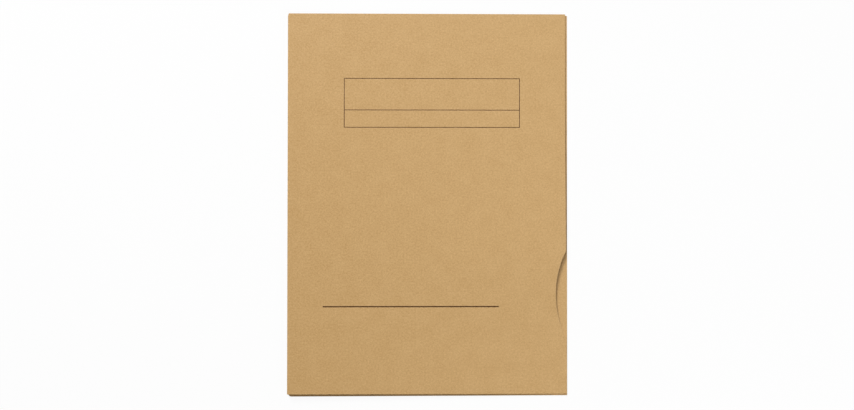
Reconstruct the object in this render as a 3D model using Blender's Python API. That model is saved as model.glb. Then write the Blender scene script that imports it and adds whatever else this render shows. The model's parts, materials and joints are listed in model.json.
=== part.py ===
"""Fastener folder for A4 sheets: two kraft board covers on a narrow spine, and a two-prong fastener inside.

Metres, +Z up. The folder lies closed on its back cover, with the spine on the left (-X) and the top of the
page towards +Y. The origin is under the middle of the outline, on the surface that the folder lies on.
"""
import math

import bmesh
import bpy
from mathutils import Matrix

# Covers and spine
COVER_HEIGHT = 0.320
BACK_WIDTH = 0.235
FRONT_SET_BACK = 0.0010
FRONT_RISE = 0.0019
BOARD = 0.0005
COVER_CORNER = 0.0004
SPINE_CORNER_CUT = 0.0015
FREE_EDGE_GAP = 0.0006

# Thumb notch in the free edge of the front cover
NOTCH_RADIUS = 0.081
NOTCH_DEPTH = 0.0087
NOTCH_FROM_BOTTOM = 0.0835

# Clearances
FIT_GAP = 0.0002
SLOT_GAP = 0.0005
PRONG_SIDE_GAP = 0.0009
COVER_REST_GAP = 0.0003

# Fastener base and prongs, for sheets punched with two holes
FASTENER_FROM_SPINE = 0.028
PRONG_SPACING = 0.080
PRONG_LENGTH = 0.028
PRONG_WIDTH = 0.005
METAL = 0.0003
BEND_RADIUS = 0.0004

# Board strip over the base
CROWN_MARGIN = 0.002
CROWN_SLOPE = 0.0015
GLUE_MARGIN = 0.010
STRIP_OVERHANG = 0.012
STRIP_CORNER = 0.005

# Compressor bar
GROOVE_WALL_RUN = 0.0003
WING_WIDTH = 0.0022
BAR_SLOT_REACH = 0.0037
BAR_CORNER = 0.003
BAR_END = 0.006
STOP_RADIUS = 0.0007
STOP_HEIGHT = 0.0004

# Sliders
SLIDER_LENGTH = 0.009
SLIDER_PARK_GAP = 0.003
HOOK_REACH = 0.0014
SLIDER_BEND = 0.00025
RIB_COUNT = 3
RIB_PITCH = 0.0018
RIB_RADIUS = 0.0003

# Facets
CORNER_STEPS = 4
NOTCH_STEPS = 16
BEND_STEPS = 4
FOLD_STEPS = 4
TIP_STEPS = 8
ROUND_SIDES = 12
SMOOTH_ANGLE = math.radians(35)

# Finishes: linear colour, roughness, metallic
KRAFT_BOARD = ((0.57, 0.37, 0.16), 0.85, 0.0)
STRIP_BOARD = ((0.50, 0.34, 0.16), 0.85, 0.0)
TINPLATE = ((0.62, 0.62, 0.60), 0.35, 1.0)
NICKEL_PLATE = ((0.66, 0.64, 0.60), 0.25, 1.0)

# Levels of the stack, from the surface that the folder lies on upwards
BASE_BOTTOM = BOARD + FIT_GAP
BASE_TOP = BASE_BOTTOM + METAL
CROWN_RISE = BASE_TOP - BOARD
CROWN_TOP = BASE_TOP + FIT_GAP + BOARD
BAR_BOTTOM = CROWN_TOP + FIT_GAP
GROOVE_FLOOR = BAR_BOTTOM + METAL
PRONG_LEVEL = GROOVE_FLOOR + FIT_GAP + METAL / 2
WING_BOTTOM = GROOVE_FLOOR + FIT_GAP
WING_TOP = WING_BOTTOM + METAL
ROOF_BOTTOM = WING_TOP + FIT_GAP
ROOF_TOP = ROOF_BOTTOM + METAL
SLIDER_TOP = ROOF_TOP + RIB_RADIUS

# Places across the folder
SPINE_AXIS_X = -BACK_WIDTH / 2 + BOARD / 2
FREE_EDGE_X = BACK_WIDTH / 2
FASTENER_X = -BACK_WIDTH / 2 + FASTENER_FROM_SPINE
PRONG_SETBACK = METAL / 2 + FIT_GAP

# Half sizes of the bar and the sliders
GROOVE_HALF = PRONG_WIDTH / 2 + PRONG_SIDE_GAP
BAR_HALF = GROOVE_HALF + GROOVE_WALL_RUN + WING_WIDTH
SLIDER_INNER = BAR_HALF + FIT_GAP
SLIDER_OUTER = SLIDER_INNER + METAL
SLIDER_PARK_Y = PRONG_SPACING / 2 + SLIDER_PARK_GAP + SLIDER_LENGTH / 2
STOP_Y = SLIDER_PARK_Y + SLIDER_LENGTH / 2 + FIT_GAP + STOP_RADIUS
BAR_HALF_LENGTH = SLIDER_PARK_Y + SLIDER_LENGTH / 2 + BAR_END

# The front cover slopes from the sliders that it rests over down to its free edge
FRONT_EDGE_X = FREE_EDGE_X - FRONT_SET_BACK
SLIDER_EDGE_X = FASTENER_X + SLIDER_OUTER
FRONT_SLOPE = (SLIDER_TOP + COVER_REST_GAP - BOARD - FREE_EDGE_GAP) / (FRONT_EDGE_X - SLIDER_EDGE_X)
FRONT_TILT = math.atan(FRONT_SLOPE)
FRONT_UNDERSIDE = SLIDER_TOP + COVER_REST_GAP + FRONT_SLOPE * (SLIDER_EDGE_X - SPINE_AXIS_X)
FRONT_AXIS_Z = FRONT_UNDERSIDE + BOARD / 2 / math.cos(FRONT_TILT)
BACK_AXIS_Z = BOARD / 2
FRONT_LENGTH = (FRONT_EDGE_X - SPINE_AXIS_X) / math.cos(FRONT_TILT)
SPINE_HEIGHT = FRONT_AXIS_Z - BACK_AXIS_Z

# Rounded folds, as radii of the board's middle. The outer face of each runs through its crease axis, so the
# two halves of a fold part there without meeting as it opens.
FOLD_RADIUS = BOARD / 2 * (1 + math.sqrt(2))
BACK_FOLD_TURN = math.pi / 2
FRONT_FOLD_TURN = math.pi / 2 + FRONT_TILT


def clear_scene():
    for old in list(bpy.data.objects):
        bpy.data.objects.remove(old, do_unlink=True)


def make_material(name, finish):
    colour, roughness, metallic = finish
    material = bpy.data.materials.new(name)
    material.use_nodes = True
    shader = material.node_tree.nodes["Principled BSDF"]
    shader.inputs["Base Color"].default_value = (*colour, 1.0)
    shader.inputs["Roughness"].default_value = roughness
    shader.inputs["Metallic"].default_value = metallic
    return material


def arc(centre, radius, start, end, steps):
    """Points on an arc, from one angle to another."""
    points = []
    for step in range(steps + 1):
        angle = start + (end - start) * step / steps
        points.append((centre[0] + radius * math.cos(angle), centre[1] + radius * math.sin(angle)))
    return points


def rounded_rectangle(half_x, half_y, radius):
    """Outline round the origin, anticlockwise from its right side."""
    outline = []
    for turn, (side_x, side_y) in enumerate(((1, 1), (-1, 1), (-1, -1), (1, -1))):
        centre = (side_x * (half_x - radius), side_y * (half_y - radius))
        start = turn * math.pi / 2
        outline += arc(centre, radius, start, start + math.pi / 2, CORNER_STEPS)
    return outline


def prism(points, direction):
    """Closed solid: the flat outline through these points, extruded along a direction."""
    body = bmesh.new()
    face = body.faces.new([body.verts.new(point) for point in points])
    grown = bmesh.ops.extrude_face_region(body, geom=[face])
    moved = [item for item in grown["geom"] if isinstance(item, bmesh.types.BMVert)]
    bmesh.ops.translate(body, verts=moved, vec=direction)
    bmesh.ops.recalc_face_normals(body, faces=body.faces)
    return body


def plate(outline, bottom, thickness):
    """Flat sheet: an outline in X and Y, extruded upwards."""
    return prism([(x, y, bottom) for x, y in outline], (0, 0, thickness))


def rail(profile, half_length):
    """Long section: a profile in X and Z, extruded along Y about the origin."""
    return prism([(x, -half_length, z) for x, z in profile], (0, 2 * half_length, 0))


def to_mesh(name, body):
    mesh = bpy.data.meshes.new(name)
    body.to_mesh(mesh)
    body.free()
    return mesh


def add_object(name, mesh, finish, parent=None, location=(0, 0, 0), rotation=(0, 0, 0)):
    """Place a mesh as a named piece. Two pieces that share a mesh share its material too."""
    if not mesh.materials:
        mesh.materials.append(make_material(mesh.name, finish))
        mesh.shade_smooth()
        mesh.set_sharp_from_angle(angle=SMOOTH_ANGLE)
    thing = bpy.data.objects.new(name, mesh)
    bpy.context.scene.collection.objects.link(thing)
    thing.parent = parent
    thing.location = location
    thing.rotation_euler = rotation
    return thing


def combine(name, body, steps):
    """Mesh of a body after boolean steps, each an operation and a tool body in the same coordinates."""
    scraps = [bpy.data.objects.new("blank", to_mesh("blank", body))]
    for operation, tool_body in steps:
        tool = bpy.data.objects.new("tool", to_mesh("tool", tool_body))
        scraps.append(tool)
        modifier = scraps[0].modifiers.new(operation.lower(), "BOOLEAN")
        modifier.operation = operation
        modifier.solver = "EXACT"
        modifier.object = tool
    for scrap in scraps:
        bpy.context.scene.collection.objects.link(scrap)
    bpy.context.view_layer.update()
    mesh = bpy.data.meshes.new_from_object(scraps[0].evaluated_get(bpy.context.evaluated_depsgraph_get()))
    mesh.name = name
    for scrap in scraps:
        bpy.data.objects.remove(scrap, do_unlink=True)
    return mesh


def slot_cutters(inward_reach):
    """Two upright cutters, one round each stub of the base, which run on towards the fastener's middle."""
    half_x = PRONG_WIDTH / 2 + SLOT_GAP
    outer_y = PRONG_SPACING / 2 + METAL / 2 + SLOT_GAP
    inner_y = PRONG_SPACING / 2 - METAL / 2 - SLOT_GAP - inward_reach
    size = (2 * half_x, outer_y - inner_y, 2 * FRONT_AXIS_Z)
    slots = bmesh.new()
    for side in (-1, 1):
        made = bmesh.ops.create_cube(slots, size=1)
        bmesh.ops.scale(slots, verts=made["verts"], vec=size)
        bmesh.ops.translate(slots, verts=made["verts"], vec=(0, side * (outer_y + inner_y) / 2, 0))
    return slots


def half_fold(turn):
    """Outer and inner side of half a rounded fold: u runs from the crease along the board, v to its inside."""
    centre = (FOLD_RADIUS * math.tan(turn / 2), FOLD_RADIUS)
    start = -math.pi / 2
    end = start - turn / 2 + FIT_GAP / 2 / FOLD_RADIUS
    outer = arc(centre, FOLD_RADIUS + BOARD / 2, start, end, FOLD_STEPS)
    inner = arc(centre, FOLD_RADIUS - BOARD / 2, end, start, FOLD_STEPS)
    return outer + inner


def folded_sheet(name, turn, side, outline):
    """Cover mesh: a sheet along X with half a fold at its crease, bent up or down, trimmed to an outline."""
    far = max(x for x, y in outline) + BOARD
    half_length = max(abs(y) for x, y in outline) + BOARD
    section = half_fold(turn) + [(far, BOARD / 2), (far, -BOARD / 2)]
    sheet = rail([(u, side * v) for u, v in section], half_length)
    depth = 2 * (FOLD_RADIUS + BOARD)
    return combine(name, sheet, [("INTERSECT", plate(outline, -depth / 2, depth))])


def crease_side(bottom, top):
    """Left side of a cover's outline, clear of its fold, with the lower corner cut off at a slant."""
    return [(-BOARD, top), (-BOARD, bottom + BOARD + SPINE_CORNER_CUT), (SPINE_CORNER_CUT, bottom)]


def build_back_cover(parent):
    """Plain sheet from its crease to its free edge. Its origin is on the crease."""
    bottom = -COVER_HEIGHT / 2
    top = COVER_HEIGHT / 2
    corner_x = FREE_EDGE_X - SPINE_AXIS_X - COVER_CORNER
    outline = crease_side(bottom, top)
    outline += arc((corner_x, bottom + COVER_CORNER), COVER_CORNER, -math.pi / 2, 0, CORNER_STEPS)
    outline += arc((corner_x, top - COVER_CORNER), COVER_CORNER, 0, math.pi / 2, CORNER_STEPS)
    mesh = folded_sheet("back_cover", BACK_FOLD_TURN, 1, outline)
    return add_object("back_cover", mesh, KRAFT_BOARD, parent, (SPINE_AXIS_X, -FRONT_RISE / 2, BACK_AXIS_Z))


def build_spine_panel(parent):
    """Upright strip with half of each fold. Its origin is on the back crease, where it turns."""
    section = [(v, u) for u, v in half_fold(BACK_FOLD_TURN)]
    section += [(v, SPINE_HEIGHT - u) for u, v in reversed(half_fold(FRONT_FOLD_TURN))]
    mesh = to_mesh("spine_panel", rail(section, (COVER_HEIGHT - FRONT_RISE) / 2))
    return add_object("spine_panel", mesh, KRAFT_BOARD, parent, (SPINE_AXIS_X, 0, BACK_AXIS_Z))


def build_front_cover(spine_panel):
    """Sheet with the thumb notch, sloping down from the front crease, which is its origin and its fold."""
    bottom = -COVER_HEIGHT / 2
    top = COVER_HEIGHT / 2
    corner_x = FRONT_LENGTH - COVER_CORNER
    notch_centre = (FRONT_LENGTH - NOTCH_DEPTH + NOTCH_RADIUS, bottom + NOTCH_FROM_BOTTOM)
    half_angle = math.acos((NOTCH_RADIUS - NOTCH_DEPTH) / NOTCH_RADIUS)
    outline = crease_side(bottom, top)
    outline += arc((corner_x, bottom + COVER_CORNER), COVER_CORNER, -math.pi / 2, 0, CORNER_STEPS)
    outline += arc(notch_centre, NOTCH_RADIUS, math.pi + half_angle, math.pi - half_angle, NOTCH_STEPS)
    outline += arc((corner_x, top - COVER_CORNER), COVER_CORNER, 0, math.pi / 2, CORNER_STEPS)
    mesh = folded_sheet("front_cover", FRONT_FOLD_TURN, -1, outline)
    place = (0, FRONT_RISE / 2, SPINE_HEIGHT)
    return add_object("front_cover", mesh, KRAFT_BOARD, spine_panel, place, (0, FRONT_TILT, 0))


def build_fastener_strip(parent):
    """Glued board strip, raised in the middle where it runs over the base, with a slot for each stub."""
    crown_x = PRONG_WIDTH / 2 + CROWN_MARGIN
    crown_y = PRONG_SPACING / 2 + METAL / 2 + CROWN_MARGIN
    low = BASE_BOTTOM
    levels = ((crown_x, crown_y, low + CROWN_RISE), (crown_x + CROWN_SLOPE, crown_y + CROWN_SLOPE, low))
    sheet = bmesh.new()
    rings = []
    for half_x, half_y, level in levels:
        corners = ((half_x, half_y), (-half_x, half_y), (-half_x, -half_y), (half_x, -half_y))
        rings.append([sheet.verts.new((x, y, level)) for x, y in corners])
    crown, foot = rings
    sheet.faces.new(crown)
    for index in range(len(crown)):
        following = (index + 1) % len(crown)
        sheet.faces.new((crown[index], foot[index], foot[following], crown[following]))
    half_x = crown_x + CROWN_SLOPE + GLUE_MARGIN
    outline = rounded_rectangle(half_x, BAR_HALF_LENGTH + STRIP_OVERHANG, STRIP_CORNER)
    edge = [sheet.verts.new((x, y, low)) for x, y in outline]
    per_corner = CORNER_STEPS + 1
    for turn, inner in enumerate(foot):
        corner = edge[turn * per_corner:(turn + 1) * per_corner]
        following = (turn + 1) % len(foot)
        sheet.faces.new([inner] + corner)
        sheet.faces.new((inner, corner[-1], edge[following * per_corner], foot[following]))
    grown = bmesh.ops.extrude_face_region(sheet, geom=sheet.faces[:])
    moved = [item for item in grown["geom"] if isinstance(item, bmesh.types.BMVert)]
    bmesh.ops.translate(sheet, verts=moved, vec=(0, 0, BOARD))
    bmesh.ops.recalc_face_normals(sheet, faces=sheet.faces)
    mesh = combine("fastener_strip", sheet, [("DIFFERENCE", slot_cutters(0))])
    return add_object("fastener_strip", mesh, STRIP_BOARD, parent, (FASTENER_X, 0, 0))


def build_fastener_base(parent):
    """Flat strip with its two ends bent up as stubs, drawn as one bent outline and given its width."""
    half = PRONG_SPACING / 2
    inner = BEND_RADIUS
    outer = BEND_RADIUS + METAL
    stub_top = PRONG_LEVEL - PRONG_SETBACK
    turn_y = half + METAL / 2 - outer
    turn_z = BASE_BOTTOM + outer
    right_angle = math.pi / 2
    outline = [(-half - METAL / 2, stub_top)]
    outline += arc((-turn_y, turn_z), outer, 2 * right_angle, 3 * right_angle, BEND_STEPS)
    outline += arc((turn_y, turn_z), outer, 3 * right_angle, 4 * right_angle, BEND_STEPS)
    outline += [(half + METAL / 2, stub_top), (half - METAL / 2, stub_top)]
    outline += arc((turn_y, turn_z), inner, 4 * right_angle, 3 * right_angle, BEND_STEPS)
    outline += arc((-turn_y, turn_z), inner, 3 * right_angle, 2 * right_angle, BEND_STEPS)
    outline.append((-half + METAL / 2, stub_top))
    bent = prism([(-PRONG_WIDTH / 2, y, z) for y, z in outline], (PRONG_WIDTH, 0, 0))
    mesh = to_mesh("fastener_base", bent)
    return add_object("fastener_base", mesh, TINPLATE, parent, (FASTENER_X, 0, 0))


def build_prongs(parent):
    """Two flat tongues with round tips. Each one's origin is on the line where it bends up from its stub."""
    half = PRONG_WIDTH / 2
    outline = [(-half, -PRONG_SETBACK)]
    outline += arc((0, -PRONG_LENGTH + half), half, math.pi, 2 * math.pi, TIP_STEPS)
    outline.append((half, -PRONG_SETBACK))
    tongue = to_mesh("prong", plate(outline, -METAL / 2, METAL))
    bend_y = PRONG_SPACING / 2
    add_object("prong_upper", tongue, TINPLATE, parent, (FASTENER_X, bend_y, PRONG_LEVEL))
    half_turn = (0, 0, math.pi)
    add_object("prong_lower", tongue, TINPLATE, parent, (FASTENER_X, -bend_y, PRONG_LEVEL), half_turn)


def build_compressor_bar(parent):
    """Pressed bar: a groove for the prongs between two raised wings, with slots and four end stops."""
    wall = GROOVE_HALF + GROOVE_WALL_RUN
    top_side = [(BAR_HALF, WING_TOP), (wall, WING_TOP), (GROOVE_HALF, GROOVE_FLOOR)]
    under_side = [(GROOVE_HALF + METAL, BAR_BOTTOM), (wall + METAL, WING_BOTTOM), (BAR_HALF, WING_BOTTOM)]
    profile = top_side + [(-x, z) for x, z in reversed(top_side)]
    profile += [(-x, z) for x, z in reversed(under_side)] + under_side
    outline = rounded_rectangle(BAR_HALF, BAR_HALF_LENGTH, BAR_CORNER)
    steps = [
        ("INTERSECT", plate(outline, 0, FRONT_AXIS_Z)),
        ("DIFFERENCE", slot_cutters(BAR_SLOT_REACH)),
        ("UNION", end_stops()),
    ]
    mesh = combine("compressor_bar", rail(profile, BAR_HALF_LENGTH), steps)
    return add_object("compressor_bar", mesh, NICKEL_PLATE, parent, (FASTENER_X, 0, 0))


def end_stops():
    """Four low cones on the bar's wings, just past the parked sliders, that keep the sliders on."""
    sink = METAL / 2
    stops = bmesh.new()
    for side_x in (-1, 1):
        for side_y in (-1, 1):
            made = bmesh.ops.create_cone(
                stops, cap_ends=True, segments=ROUND_SIDES, radius1=STOP_RADIUS,
                radius2=STOP_RADIUS / 2, depth=STOP_HEIGHT + sink)
            middle = WING_TOP + (STOP_HEIGHT - sink) / 2
            place = (side_x * (BAR_HALF - WING_WIDTH / 2), side_y * STOP_Y, middle)
            bmesh.ops.translate(stops, verts=made["verts"], vec=place)
    return stops


def build_sliders(bar):
    """Two clips bent round the bar's wings, with thumb ribs across the roof. They slide along Y."""
    hook_tip = SLIDER_INNER - HOOK_REACH
    half_profile = [
        (hook_tip, GROOVE_FLOOR), (SLIDER_INNER, GROOVE_FLOOR), (SLIDER_INNER, ROOF_BOTTOM)]
    outer_half = [(SLIDER_OUTER, ROOF_TOP), (SLIDER_OUTER, BAR_BOTTOM), (hook_tip, BAR_BOTTOM)]
    profile = half_profile + [(-x, z) for x, z in reversed(half_profile)]
    profile += [(-x, z) for x, z in reversed(outer_half)] + outer_half
    clip = rail(profile, SLIDER_LENGTH / 2)
    bends = []
    for edge in clip.edges:
        first, second = (vert.co for vert in edge.verts)
        runs_along = abs(first.y - second.y) > SLIDER_LENGTH / 2
        if runs_along and abs(first.x) > (SLIDER_INNER + SLIDER_OUTER) / 2:
            bends.append(edge)
    bmesh.ops.bevel(clip, geom=bends, offset=SLIDER_BEND, segments=2, profile=0.5, affect="EDGES")
    mesh = combine("slider", clip, [("UNION", thumb_ribs())])
    add_object("slider_upper", mesh, NICKEL_PLATE, bar, (0, SLIDER_PARK_Y, 0))
    add_object("slider_lower", mesh, NICKEL_PLATE, bar, (0, -SLIDER_PARK_Y, 0), (0, 0, math.pi))


def thumb_ribs():
    """Round ribs lying across the slider's roof, sunk to half their height."""
    length = 2 * (SLIDER_INNER - RIB_RADIUS)
    ribs = bmesh.new()
    for index in range(RIB_COUNT):
        made = bmesh.ops.create_cone(
            ribs, cap_ends=True, segments=ROUND_SIDES, radius1=RIB_RADIUS, radius2=RIB_RADIUS, depth=length)
        bmesh.ops.rotate(ribs, verts=made["verts"], matrix=Matrix.Rotation(math.pi / 2, 3, "Y"))
        place = (0, (index - (RIB_COUNT - 1) / 2) * RIB_PITCH, ROOF_TOP)
        bmesh.ops.translate(ribs, verts=made["verts"], vec=place)
    return ribs


def main():
    clear_scene()
    folder = bpy.data.objects.new("folder", None)
    bpy.context.scene.collection.objects.link(folder)
    build_back_cover(folder)
    spine_panel = build_spine_panel(folder)
    build_front_cover(spine_panel)
    build_fastener_strip(folder)
    build_fastener_base(folder)
    build_prongs(folder)
    bar = build_compressor_bar(folder)
    build_sliders(bar)


main()
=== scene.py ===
# %% [markdown]
# # A kraft board fastener folder
# A fastener folder keeps punched sheets between two board covers. The covers and the narrow spine are one
# sheet of brown kraft board, creased twice. Inside, a steel strip with two bendable prongs holds the paper,
# and a pressed bar with two sliding clips keeps the prongs down.
# The solids and their joints are packed already. This script loads them as a fixed frame and dresses them
# in finer meshes, where the real form is softer than the solid, and in finishes.

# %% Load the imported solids
import json
import math

import bmesh
import bpy
import numpy as np
from mathutils import Matrix, Vector


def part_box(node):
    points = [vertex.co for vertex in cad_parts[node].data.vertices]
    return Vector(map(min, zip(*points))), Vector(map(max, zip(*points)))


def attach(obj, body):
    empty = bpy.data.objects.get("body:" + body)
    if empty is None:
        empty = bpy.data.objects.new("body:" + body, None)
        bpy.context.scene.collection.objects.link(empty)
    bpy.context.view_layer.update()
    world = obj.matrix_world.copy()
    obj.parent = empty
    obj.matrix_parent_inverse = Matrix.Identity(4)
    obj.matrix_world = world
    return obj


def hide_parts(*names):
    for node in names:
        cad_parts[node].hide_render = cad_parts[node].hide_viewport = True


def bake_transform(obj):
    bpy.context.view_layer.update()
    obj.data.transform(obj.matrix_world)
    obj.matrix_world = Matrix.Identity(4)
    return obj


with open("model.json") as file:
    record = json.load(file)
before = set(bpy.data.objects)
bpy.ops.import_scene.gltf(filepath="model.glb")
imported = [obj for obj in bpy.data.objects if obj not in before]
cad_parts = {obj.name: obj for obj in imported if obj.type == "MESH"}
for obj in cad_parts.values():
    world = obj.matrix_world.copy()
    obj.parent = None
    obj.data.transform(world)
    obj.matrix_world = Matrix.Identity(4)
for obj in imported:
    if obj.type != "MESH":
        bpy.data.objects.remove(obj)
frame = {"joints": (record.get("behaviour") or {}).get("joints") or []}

MM = 0.001
scene = bpy.context.scene
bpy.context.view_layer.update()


def in_mm(lengths):
    """Lengths in rounded millimetres."""
    return [round(length / MM, 2) for length in lengths]


# %% [markdown]
# ## Places that come from the frame
# A finish only fits if it starts from the same numbers as the solids. The crease lines are joints, so their
# places are read from the frame, and the board's thickness is twice the height of the lower crease, which
# lies in the middle of the board. The outer face of a fold runs through its crease, which gives a radius.

# %% Creases, covers and board
joints = {joint["name"]: joint for joint in frame["joints"]}
BACK_CREASE = Vector(joints["spine_fold"]["pos_m"])
FRONT_CREASE = Vector(joints["cover_fold"]["pos_m"])
back_low, back_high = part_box("back_cover")
front_low, front_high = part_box("front_cover")
spine_low, spine_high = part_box("spine_panel")


def fold_radius(thickness):
    """Radius of the middle of a square fold whose outer face runs through the corner."""
    return thickness / 2 * (1 + math.sqrt(2))


BOARD = 2 * BACK_CREASE.z
BOARD_FOLD = fold_radius(BOARD)
FRONT_SLOPE = (FRONT_CREASE.z - front_low.z - BOARD / 2) / (front_high.x - FRONT_CREASE.x)
print("board and fold radius", in_mm((BOARD, BOARD_FOLD)), "mm")
print("front cover falls", round(FRONT_SLOPE / MM, 2), "mm in each metre")

# %% [markdown]
# ## One way to make every sheet
# Board and sheet steel are both flat stock: each piece has a middle surface and a thickness. It could be a
# plane with Solidify and Bevel modifiers, but the folds must still bend when the folder opens, so the mesh
# has to be final. Here a grid of points gives the middle surface. The helper offsets it to both sides,
# closes the border, leaves out the cells of punched slots and rounds the cut edges.
# Each corner also keeps its place on the flat blank, in metres, as a UV map. The patterns are drawn on
# that map, so they stay on the board when it bends.

# %% Grid helpers
def stations(*runs):
    """Positions along a line: each run is (start, end, cells), and runs that meet share their point."""
    places = []
    for start, end, cells in runs:
        places += list(np.linspace(start, end, cells + 1)[bool(places):])
    return np.array(places)


def cells_between(places, low, high):
    """The cells of a line of stations that lie between two of its places."""
    return slice(int(np.argmin(abs(places - low))), int(np.argmin(abs(places - high))))


def smooth(share):
    """0 to 1 with an even start and stop."""
    held = np.clip(share, 0, 1)
    return held * held * (3 - 2 * held)


def grid(x, y, z):
    """Points of a sheet, from coordinates that change along its rows, its columns or both."""
    return np.stack(np.broadcast_arrays(x, y, z), axis=2)


print("two runs of stations:", stations((0, 1, 2), (1, 7, 3)))

# %% Slots, edges and shading of a sheet
UPPER, LOWER, CUT = range(3)
EDGE_SEGMENTS = 2
SMOOTH_ANGLE = math.radians(50)


def kept_cells(rows, columns, slots):
    """Which cells of a grid are sheet, inside a border of cells that aren't."""
    kept = np.zeros((rows + 1, columns + 1), bool)
    kept[1:-1, 1:-1] = True
    for slot_rows, slot_columns in slots:
        kept[1:, 1:][slot_rows, slot_columns] = False
    return kept


def round_cut_edges(body, soft_edge, square_end):
    """Round the edges between the faces and the cut sides of a sheet, but not those of a square end."""
    edges = [edge for edge in body.edges
             if len({face.material_index == CUT for face in edge.link_faces}) == 2
             and not square_end.intersection(edge.link_faces)]
    body.normal_update()
    bmesh.ops.bevel(body, geom=edges, offset=soft_edge, segments=EDGE_SEGMENTS, profile=0.5,
                    affect="EDGES")


def finished_mesh(name, body):
    """Mesh of a body, shaded smooth apart from its sharp edges."""
    mesh = bpy.data.meshes.new(name)
    body.to_mesh(mesh)
    body.free()
    mesh.shade_smooth()
    mesh.set_sharp_from_angle(angle=SMOOTH_ANGLE)
    return mesh


print("kinds of face: upper", UPPER, "lower", LOWER, "cut", CUT)

# %% Sheet helper
LENGTHS = "blank"
RIM = "rim"
TO_COLUMN_BEFORE = 3


def sheet_mesh(name, middle, blank, thickness, soft_edge, slots=(), joined_start=False):
    """Closed sheet round a grid of middle points (row, column, xyz). Its upper face is on the side from
    which columns run to the right and rows run up. joined_start leaves the first column's end square."""
    rows, columns = middle.shape[:2]
    normal = np.cross(np.gradient(middle, axis=1), np.gradient(middle, axis=0))
    normal *= thickness / 2 / np.linalg.norm(normal, axis=2, keepdims=True)
    kept = kept_cells(rows, columns, slots)
    body = bmesh.new()
    lengths = body.loops.layers.uv.new(LENGTHS)
    rim = body.verts.layers.float.new(RIM)
    made = {}
    square_end = set()

    def corner(side, row, column):
        key = (side, row, column)
        if key not in made:
            outwards = normal[row, column] if side == UPPER else -normal[row, column]
            made[key] = body.verts.new(middle[row, column] + outwards)
        return made[key]

    def face(corners, kind):
        quad = body.faces.new([corner(*key) for key in corners])
        quad.material_index = kind
        for loop, (side, row, column) in zip(quad.loops, corners):
            shift = thickness if kind == CUT and side == LOWER else 0
            loop[lengths].uv = blank[row, column] + shift
        return quad

    for row in range(rows - 1):
        for column in range(columns - 1):
            if not kept[row + 1, column + 1]:
                continue
            cell = ((row, column), (row, column + 1), (row + 1, column + 1), (row + 1, column))
            face([(UPPER, *point) for point in cell], UPPER)
            face([(LOWER, *point) for point in reversed(cell)], LOWER)
            beside = (kept[row, column + 1], kept[row + 1, column + 2],
                      kept[row + 2, column + 1], kept[row + 1, column])
            for turn, is_sheet in enumerate(beside):
                if is_sheet:
                    continue
                first = cell[turn]
                second = cell[(turn + 1) % len(cell)]
                wall = face(((UPPER, *second), (UPPER, *first), (LOWER, *first), (LOWER, *second)), CUT)
                for vert in wall.verts:
                    vert[rim] = 1.0
                if joined_start and column == 0 and turn == TO_COLUMN_BEFORE:
                    square_end.add(wall)
    round_cut_edges(body, soft_edge, square_end)
    return finished_mesh(name, body)


def add_piece(name, mesh, *finishes):
    """Put a mesh in the scene, with one finish for each of its kinds of face."""
    for finish in finishes:
        mesh.materials.append(finish)
    piece = bpy.data.objects.new(name, mesh)
    scene.collection.objects.link(piece)
    print(name, "has", len(mesh.polygons), "faces")
    return piece


print("sheets keep the layers", LENGTHS, "and", RIM)

# %% [markdown]
# ## Node helpers
# A finish is a small graph of nodes. It could be wired by hand, but then it isn't in the script. In code it
# is long-winded, so helpers place a node with its inputs, do arithmetic, mix colours and wire a shader.

# %% Node helpers
MIX_SHARE, MIX_FIRST, MIX_SECOND, MIX_RESULT = 0, 6, 7, 2


def place(tree, kind, inputs=None, **settings):
    """Add a shader node. settings are its own options, and inputs maps a socket's name or number to a value
    or to the socket that feeds it."""
    made = tree.nodes.new("ShaderNode" + kind)
    for option, value in settings.items():
        setattr(made, option, value)
    for key, value in (inputs or {}).items():
        if isinstance(value, bpy.types.NodeSocket):
            tree.links.new(value, made.inputs[key])
        else:
            made.inputs[key].default_value = value
    return made


def reckon(tree, operation, *values):
    """One Math node's result."""
    return place(tree, "Math", dict(enumerate(values)), operation=operation).outputs[0]


def add_share(tree, total, value, amount):
    """A total to which an amount of another value is added."""
    return reckon(tree, "ADD", total, reckon(tree, "MULTIPLY", value, amount))


def scaled(tree, lengths, scale):
    """Lengths with a scale of their own on each axis."""
    return place(tree, "VectorMath", {0: lengths, 1: scale}, operation="MULTIPLY").outputs[0]


def mix_colour(tree, share, first, second):
    """One colour turned into another by a share from 0 to 1."""
    inputs = {MIX_SHARE: share, MIX_FIRST: first, MIX_SECOND: second}
    return place(tree, "Mix", inputs, data_type="RGBA").outputs[MIX_RESULT]


def remap(tree, value, low, high, to_low=0.0, to_high=1.0):
    """A value carried smoothly from one range to another."""
    inputs = dict(enumerate((value, low, high, to_low, to_high)))
    return place(tree, "MapRange", inputs, interpolation_type="SMOOTHSTEP").outputs[0]


def noise(tree, lengths, detail, scale=1.0, rough=0.5):
    """One Noise texture's value over given lengths."""
    inputs = {"Vector": lengths, "Scale": scale, "Detail": detail, "Roughness": rough}
    return place(tree, "TexNoise", inputs).outputs[0]


print("a Mix node's colours are sockets", MIX_FIRST, "and", MIX_SECOND)

# %% Groups and finishes
SURFACE = {"Color": "Color", "Height": "Float", "Roughness": "Float"}
PER_MM = (1 / MM,) * 3


def new_group(name, inputs, outputs):
    """An empty node group with named sockets, and its two end nodes."""
    tree = bpy.data.node_groups.new(name, "ShaderNodeTree")
    for in_out, sockets in (("INPUT", inputs), ("OUTPUT", outputs)):
        for socket, kind in sockets.items():
            tree.interface.new_socket(socket, in_out=in_out, socket_type="NodeSocket" + kind)
    return tree, tree.nodes.new("NodeGroupInput").outputs, tree.nodes.new("NodeGroupOutput").inputs


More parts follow.
